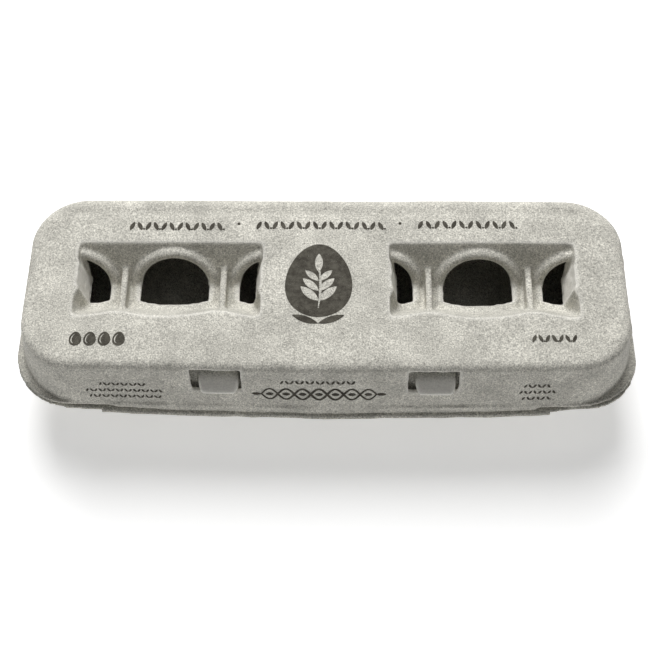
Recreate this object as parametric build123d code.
from build123d import *

import os
from math import cos, radians, sin, tan

# A dozen-egg carton of moulded pulp, closed, standing on its twelve cups.
# Length runs along X, the front with the two latch buttons faces -Y and Z points up.
# The tray, the lid and the latch flap are one moulding joined by two folds in the pulp.
# Each named region of that moulding is a solid of its own, and neighbours meet face to face.
# All dimensions are in millimetres.

# Whole carton
LENGTH = 298.0
WIDTH = 108.0
HEIGHT = 70.0
RIM_Z = 37.0            # top of the tray's rim, where the lid sits
WALL = 2.0              # thickness of the pulp
GAP = 0.3               # clearance between the closed halves
CORNER = 28.0           # corner radius of both rims, in plan

# Egg cells
COLUMNS = 6
PITCH_X = 48.0
PITCH_Y = 45.0
RIDGE_Z = 24.0          # top of the ridges between the cups
CUP_SECTIONS = (        # height, half width and corner radius of a cup's outside
    (0.0, 13.0, 10.5),
    (7.0, 17.6, 14.5),
    (15.0, 20.9, 14.5),
    (RIDGE_Z, 23.2, 13.0),
)
CUP_INSET = 1.6         # how far the inside is drawn in, besides being raised by WALL
CUP_NARROWING = 1.4     # a cup's half width in Y is this much less than in X

# Centre posts between the two rows
POST_FOOT_RADIUS = 8.0
POST_TOP_RADIUS = 4.5
POST_TOP_Z = 47.6

# Upright band of the tray between the ridges and the rim
BAND_HALF = (143.9, 44.9)
BAND_RADIUS = 17.0
BAND_FLARE = 1.2

# Lid
LID_LEDGE = 3.2         # width of the lid's rim outside its end and rear walls
LID_FRONT_LEDGE = 0.8   # width of the rim outside its front wall
LID_DRAFT = 8.5         # lean of the end walls, in degrees
LID_FRONT_DRAFT = 6.5
LID_REAR_DRAFT = 12.5
LID_FOOT_RADIUS = 32.0
LID_TOP_RADIUS = 25.0
LID_EDGE_ROUNDING = 5.0
LID_TOP_SPLIT_Z = 66.8  # boundary between the walls and the top panel
LID_END_SPLIT_X = 113.0  # boundary between the end walls and the long walls

# View windows sunk into the lid
WELL_X = (30.0, 118.0)  # at the top face, for the right-hand well
WELL_Y = (-22.0, 17.5)
WELL_END_LEAN = 3.5     # how far each well wall comes in between the top and the floor
WELL_FAR_LEAN = 10.5
WELL_NEAR_LEAN = 14.0
WELL_FLOOR_Z = 50.0
WELL_CORNER = 3.0
HOLE_HALF_X = 15.8
HOLE_Y = (-4.0, 7.0)    # straight part of a view hole's sides
HOLE_ARCH = (6.0, 5.3)  # how far the hole's near and far arches go beyond that
LIP_WIDTH = 4.8
LIP_HEIGHT = 2.5
RIB_THICKNESS = 2.5
RIB_TOP_Z = 58.0

# Folds in the pulp
FOLD_RADIUS = 1.0
REAR_FOLD = (WIDTH / 2 - FOLD_RADIUS, RIM_Z + GAP / 2)
REAR_FOLD_LENGTH = 236.0
FRONT_FOLD = (-49.4, RIM_Z + GAP / 2)
FRONT_FOLD_RADIUS = 0.9

# Latch flap, leaning inwards behind the lid's front wall
FLAP_HALF_LENGTH = 102.0
FLAP_REACH = 30.0       # from the fold to the flap's free edge
FLAP_THICKNESS = 1.8
FLAP_LEAN = 12.0        # degrees from upright
FLAP_CORNER = 8.0
BUTTON_X = 50.0
BUTTON_Z = 58.4
BUTTON_TIP = (18.6, 10.6)
BUTTON_TAPER = 8.0      # degrees
BUTTON_SLOPE = 26.0     # how far the button's face leans back, in degrees from upright
BUTTON_PROUD = 3.0      # how far its lower edge stands beyond the lid's front wall
LATCH_WINDOW = (23.2, 15.2)
LATCH_WINDOW_Z = 58.9

LID_Z = RIM_Z + GAP
FAR = 400.0             # longer than anything here, for cutting boxes


def block(x, y, z):
    """A box between two values on each axis."""
    middle = Pos((x[0] + x[1]) / 2, (y[0] + y[1]) / 2, (z[0] + z[1]) / 2)
    return middle * Box(x[1] - x[0], y[1] - y[0], z[1] - z[0])


def outline(half_x, half_y, radius, z, centre=(0.0, 0.0)):
    """A rounded rectangle lying at height z."""
    return Pos(centre[0], centre[1], z) * RectangleRounded(2 * half_x, 2 * half_y, radius)


def band(low, high):
    """A solid between two outlines, with straight sides."""
    return loft([low, high], ruled=True)


def rod(y, z, radius, length):
    """A bar along X."""
    return Pos(0, y, z) * Rot(0, 90, 0) * Cylinder(radius, length)


def cell_centre(column, row):
    """Centre of an egg cell in plan; row is -1 at the front and 1 at the rear."""
    return ((column - (COLUMNS - 1) / 2) * PITCH_X, row * PITCH_Y / 2)


def cup(column, row, lift, inset):
    """The solid outline of one cup, raised and drawn in to give its inside."""
    centre = cell_centre(column, row)
    sections = [
        outline(half - inset, half - inset - CUP_NARROWING, radius - inset, z + lift, centre)
        for z, half, radius in CUP_SECTIONS
    ]
    return loft(sections, ruled=True)


def make_tray():
    """The tray without its rim: cups, ridges, upright band and posts."""
    half_x, half_y = BAND_HALF
    outside = band(
        outline(half_x, half_y, BAND_RADIUS, RIDGE_Z - WALL),
        outline(half_x + BAND_FLARE, half_y + BAND_FLARE, BAND_RADIUS + BAND_FLARE, RIM_Z),
    )
    inside = band(
        outline(half_x - WALL, half_y - WALL, BAND_RADIUS - WALL, RIDGE_Z),
        outline(half_x + BAND_FLARE - WALL, half_y + BAND_FLARE - WALL, BAND_RADIUS - WALL, RIM_Z),
    )
    tray = outside - inside
    cells = [(column, row) for column in range(COLUMNS) for row in (-1, 1)]
    for column, row in cells:
        tray += cup(column, row, 0.0, 0.0)
    for column, row in cells:
        tray -= cup(column, row, WALL, CUP_INSET)
    foot_z = RIDGE_Z - WALL
    post_height = POST_TOP_Z - foot_z
    for x in post_positions():
        tray += Pos(x, 0, foot_z + post_height / 2) * Cone(POST_FOOT_RADIUS, POST_TOP_RADIUS, post_height)
    for x in post_positions():
        hollow = Cone(POST_FOOT_RADIUS - WALL, POST_TOP_RADIUS - WALL, post_height)
        tray -= Pos(x, 0, foot_z + post_height / 2 - WALL) * hollow
    return tray - rod(*FRONT_FOLD, FRONT_FOLD_RADIUS + GAP, 2 * FLAP_HALF_LENGTH + 4)


def post_positions():
    """Centres of the posts, one between each two columns of cells."""
    return [(index - (COLUMNS - 2) / 2) * PITCH_X for index in range(COLUMNS - 1)]


def tray_nodes():
    """The tray cut into its twelve cells and five posts."""
    tray = make_tray()
    nodes = {}
    post_region = [
        Pos(x, 0, (RIDGE_Z - WALL + HEIGHT) / 2) * Cylinder(POST_FOOT_RADIUS, HEIGHT - RIDGE_Z + WALL)
        for x in post_positions()
    ]
    for index, region in enumerate(post_region, start=1):
        nodes[f"centre_post_{index}"] = tray & region
        tray -= region
    for column in range(COLUMNS):
        for row, side in ((-1, "front"), (1, "rear")):
            x, y = cell_centre(column, row)
            # The outermost cells also take the end of the upright band.
            reach_x = [x - PITCH_X / 2, x + PITCH_X / 2]
            if column == 0:
                reach_x[0] = -FAR
            if column == COLUMNS - 1:
                reach_x[1] = FAR
            reach_y = (0, FAR) if row > 0 else (-FAR, 0)
            nodes[f"egg_cell_{side}_{column + 1}"] = tray & block(reach_x, reach_y, (-1, HEIGHT))
    return nodes


def tray_rim():
    """The flat rim round the tray, cut back at the front for the latch flap's fold."""
    plate = extrude(outline(LENGTH / 2, WIDTH / 2, CORNER, RIM_Z - WALL), WALL)
    half_x, half_y = BAND_HALF
    opening = band(
        outline(half_x, half_y, BAND_RADIUS, RIDGE_Z - WALL),
        outline(half_x + BAND_FLARE, half_y + BAND_FLARE, BAND_RADIUS + BAND_FLARE, RIM_Z),
    )
    rim = plate - opening
    notch_half = FLAP_HALF_LENGTH + 2
    notch_y = FRONT_FOLD[0] + FRONT_FOLD_RADIUS + GAP
    rim -= block((-notch_half, notch_half), (-FAR, notch_y), (0, HEIGHT))
    rim -= rod(*REAR_FOLD, FOLD_RADIUS, REAR_FOLD_LENGTH)
    # Behind the fold's middle the rim ends, so that the open lid lies beside it.
    return rim - block((-FAR, FAR), (REAR_FOLD[0], FAR), (0, HEIGHT))


def lid_wall(half, ledge, draft, z):
    """Distance of a lid wall's outside from the middle of the carton, at height z."""
    return half - ledge - (z - LID_Z) * tan(radians(draft))


def lid_shape(inset, high_z):
    """The solid outline of the lid up to a height, drawn in to give its inside."""
    levels = []
    for z, radius in ((LID_Z, LID_FOOT_RADIUS), (high_z, LID_TOP_RADIUS)):
        end = lid_wall(LENGTH / 2, LID_LEDGE, LID_DRAFT, z) - inset
        front = lid_wall(WIDTH / 2, LID_FRONT_LEDGE, LID_FRONT_DRAFT, z) - inset
        rear = lid_wall(WIDTH / 2, LID_LEDGE, LID_REAR_DRAFT, z) - inset
        middle = (0, (rear - front) / 2)
        levels.append(outline(end, (rear + front) / 2, radius - inset, z, middle))
    shape = band(*levels)
    return fillet(shape.faces().sort_by(Axis.Z)[-1].edges(), LID_EDGE_ROUNDING - inset / 2)


def well_shape(side, grow, floor_z):
    """A view window's well as a solid, for the right (side 1) or left (side -1) of the lid."""
    sections = []
    depth = HEIGHT - WELL_FLOOR_Z
    for z in (floor_z, HEIGHT):
        down = (HEIGHT - z) / depth
        x0 = WELL_X[0] + WELL_END_LEAN * down - grow
        x1 = WELL_X[1] - WELL_END_LEAN * down + grow
        y0 = WELL_Y[0] + WELL_NEAR_LEAN * down - grow
        y1 = WELL_Y[1] - WELL_FAR_LEAN * down + grow
        centre = (side * (x0 + x1) / 2, (y0 + y1) / 2)
        sections.append(outline((x1 - x0) / 2, (y1 - y0) / 2, WELL_CORNER, z, centre))
    return loft(sections, ruled=True)


def view_hole(x, grow):
    """An upright prism with arched ends: a view hole, or the outside of its lip."""
    half_x = HOLE_HALF_X + grow
    near, far = HOLE_Y
    near_reach, far_reach = HOLE_ARCH
    plan = Pos(x, (near + far) / 2) * Rectangle(2 * half_x, far - near)
    plan += Pos(x, far) * Ellipse(half_x, far_reach + grow * 0.7)
    plan += Pos(x, near) * Ellipse(half_x, near_reach + grow * 0.9)
    return extrude(Pos(0, 0, RIM_Z) * plan, HEIGHT)


def window_nodes(side, name):
    """One view window: its well, the lips round its three holes and the two ribs."""
    void = well_shape(side, 0.0, WELL_FLOOR_Z)
    shell = well_shape(side, WALL, WELL_FLOOR_Z - WALL) - void
    lining = void - Pos(0, 0, LIP_HEIGHT) * well_shape(side, -LIP_HEIGHT * 0.45, WELL_FLOOR_Z)
    nodes = {}
    for column, place in ((0.5, "inner"), (1.5, "centre"), (2.5, "outer")):
        x = side * column * PITCH_X
        hole = view_hole(x, 0.0)
        shell -= hole
        nodes[f"window_lip_{name}_{place}"] = lining & (view_hole(x, LIP_WIDTH) - hole)
    for column, place in ((1, "inner"), (2, "outer")):
        x = side * column * PITCH_X
        half = RIB_THICKNESS / 2
        rib = block((x - half, x + half), WELL_Y, (WELL_FLOOR_Z, RIB_TOP_Z))
        nodes[f"window_rib_{name}_{place}"] = rib & void
    nodes[f"window_well_{name}"] = shell
    return nodes


def latch_window(x):
    """The opening in the lid's front wall that one latch button comes through."""
    width, height = LATCH_WINDOW
    return block(
        (x - width / 2, x + width / 2),
        (-WIDTH / 2, -WIDTH / 4),
        (LATCH_WINDOW_Z - height / 2, LATCH_WINDOW_Z + height / 2),
    )


def lid_nodes():
    """The lid cut into its top panel, four walls and rim, with the windows sunk into it."""
    outside = lid_shape(0.0, HEIGHT)
    shell = outside - lid_shape(WALL, HEIGHT - WALL)
    for x in (-BUTTON_X, BUTTON_X):
        shell -= latch_window(x)
    wells = [well_shape(side, WALL, WELL_FLOOR_Z - WALL) for side in (-1, 1)]
    for well in wells:
        shell -= well
    below = (0, LID_TOP_SPLIT_Z)
    middle = (-LID_END_SPLIT_X, LID_END_SPLIT_X)
    nodes = {
        "lid_top_panel": shell & block((-FAR, FAR), (-FAR, FAR), (LID_TOP_SPLIT_Z, FAR)),
        "lid_front_wall": shell & block(middle, (-FAR, 0), below),
        "lid_rear_wall": shell & block(middle, (0, FAR), below),
        "lid_left_wall": shell & block((-FAR, -LID_END_SPLIT_X), (-FAR, FAR), below),
        "lid_right_wall": shell & block((LID_END_SPLIT_X, FAR), (-FAR, FAR), below),
    }
    rim = extrude(outline(LENGTH / 2, WIDTH / 2, CORNER, LID_Z), WALL) - outside
    rear_edge = REAR_FOLD[0] - FOLD_RADIUS - GAP
    nodes["lid_rim"] = rim - block((-FAR, FAR), (rear_edge, FAR), (0, HEIGHT))
    nodes.update(window_nodes(-1, "left"))
    nodes.update(window_nodes(1, "right"))
    return nodes


def flap_nodes():
    """The latch flap and its two hollow buttons."""
    lean = radians(FLAP_LEAN)
    fold = Vector(0, *FRONT_FOLD)
    outward = Vector(0, -cos(lean), sin(lean))
    face = Plane(origin=fold, x_dir=(1, 0, 0), z_dir=outward)
    start = FRONT_FOLD_RADIUS + GAP
    height = FLAP_REACH - start
    sheet = Rectangle(2 * FLAP_HALF_LENGTH, height)
    sheet = fillet(sheet.vertices().group_by(Axis.Y)[-1], FLAP_CORNER)
    panel = extrude(face * Pos(0, start + height / 2, -FLAP_THICKNESS / 2) * sheet, FLAP_THICKNESS)
    behind = face * Pos(0, 0, -FAR / 2 - FLAP_THICKNESS / 2) * Box(FAR, FAR, FAR)
    low_z = BUTTON_Z - BUTTON_TIP[1] / 2
    tip_y = -lid_wall(WIDTH / 2, LID_FRONT_LEDGE, LID_FRONT_DRAFT, low_z) - BUTTON_PROUD
    slope = radians(BUTTON_SLOPE)
    slope_face = Plane(origin=(0, tip_y, low_z), x_dir=(1, 0, 0), z_dir=(0, -cos(slope), sin(slope)))
    ahead = Pos(0, 0, FAR / 2) * Box(FAR, FAR, FAR)
    nodes = {}
    for x, name in ((-BUTTON_X, "left"), (BUTTON_X, "right")):
        tip = Plane(origin=(x, tip_y, BUTTON_Z), x_dir=(-1, 0, 0), z_dir=(0, 1, 0))
        width, tall = BUTTON_TIP
        outside = extrude(tip * RectangleRounded(width, tall, 3), 25, taper=-BUTTON_TAPER)
        inner_tip = tip.offset(WALL)
        core = RectangleRounded(width - 2 * WALL, tall - 2 * WALL, 2)
        inside = extrude(inner_tip * core, 25, taper=-BUTTON_TAPER)
        bump = outside - behind - slope_face * ahead
        nodes[f"latch_button_{name}"] = bump - (inside - slope_face.offset(-WALL) * ahead)
        panel -= outside
    nodes["latch_flap"] = panel
    return nodes


def fold_nodes():
    """The two folds that join the three panels, each a bar on its own axis."""
    return {
        "rear_hinge_fold": rod(*REAR_FOLD, FOLD_RADIUS, REAR_FOLD_LENGTH),
        "front_hinge_fold": rod(*FRONT_FOLD, FRONT_FOLD_RADIUS, 2 * FLAP_HALF_LENGTH),
    }


def main():
    os.makedirs("parts", exist_ok=True)
    nodes = {**tray_nodes(), "tray_rim": tray_rim(), **lid_nodes(), **flap_nodes(), **fold_nodes()}
    for name, shape in nodes.items():
        export_step(shape, f"parts/{name}.step")


main()
